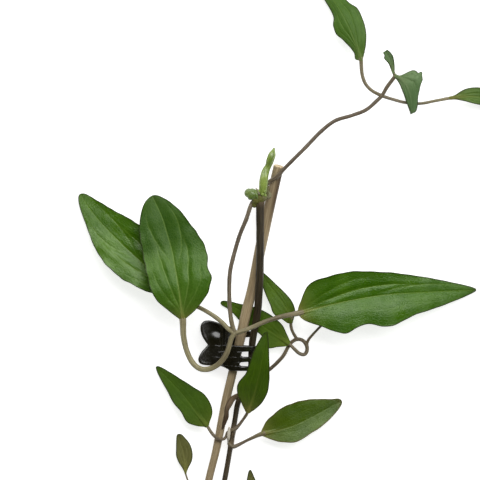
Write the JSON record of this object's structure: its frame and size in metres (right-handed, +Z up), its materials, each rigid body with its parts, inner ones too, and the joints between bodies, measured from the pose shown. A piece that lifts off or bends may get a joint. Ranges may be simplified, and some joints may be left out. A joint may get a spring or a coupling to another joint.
{
  "type": "clematis shoot clipped to a cane",
  "caption": "Young leafy clematis shoot with long twining leaf stalks, held to a thin cane by a sprung claw clip and laid flat.",
  "frame": {"origin": "middle of the footprint, at the height of the surface that the shoot lies on", "axes": "+Y runs up the cane, +X to the right of the shoot seen from above, +Z up, away from the surface"},
  "size_m": [0.2192, 0.281, 0.0225],
  "materials": {
    "leaf": "satin",
    "young_shoot": "satin",
    "stalk": "satin",
    "dried_stalk": "matte",
    "stem": "satin",
    "cane": "matte",
    "clip_plastic": "gloss",
    "clip_steel": "polished"
  },
  "bodies": {
    "shoot": {"support_cane": "cane", "main_stem": "stem", "top_shoot": "young_shoot", "bud_stub": "young_shoot", "dried_stalk": "dried_stalk", "arched_stalk": "stalk", "upper_stalk": "stalk", "twining_stalk": "stalk", "beside_clip_stalk": "stalk", "lower_right_stalk": "stalk", "lower_left_stalk": "stalk", "basal_left_stalk": "stalk", "basal_right_stalk": "stalk", "arched_leaflet_outer": "leaf", "arched_leaflet_front": "leaf", "arched_leaflet_right": "leaf", "upper_leaflet_left": "leaf", "upper_leaflet_right": "leaf", "upper_leaflet_curled": "leaf", "upper_leaflet_folded": "leaf", "twining_leaflet_top": "leaf", "twining_leaflet_left": "leaf", "twining_leaflet_hidden": "leaf", "beside_clip_leaf": "leaf", "lower_right_leaf": "leaf", "lower_left_leaf": "leaf", "basal_left_leaf": "leaf", "basal_right_leaf": "leaf", "clip_back_jaw": "clip_plastic", "clip_pin": "clip_steel", "clip_spring": "clip_steel"},
    "front_jaw": {"clip_front_jaw": "clip_plastic"}
  },
  "joints": [
    {"name": "clip_hinge", "type": "hinge", "parent": "shoot", "child": "front_jaw", "pos_m": [-0.03784, -0.04768, 0.00635], "axis": [0, -1, 0], "range_deg": [0, 32], "stiffness_Nm_per_rad": 0.01, "springref_deg": -28.65, "deforming": ["clip_spring"]}
  ]
}
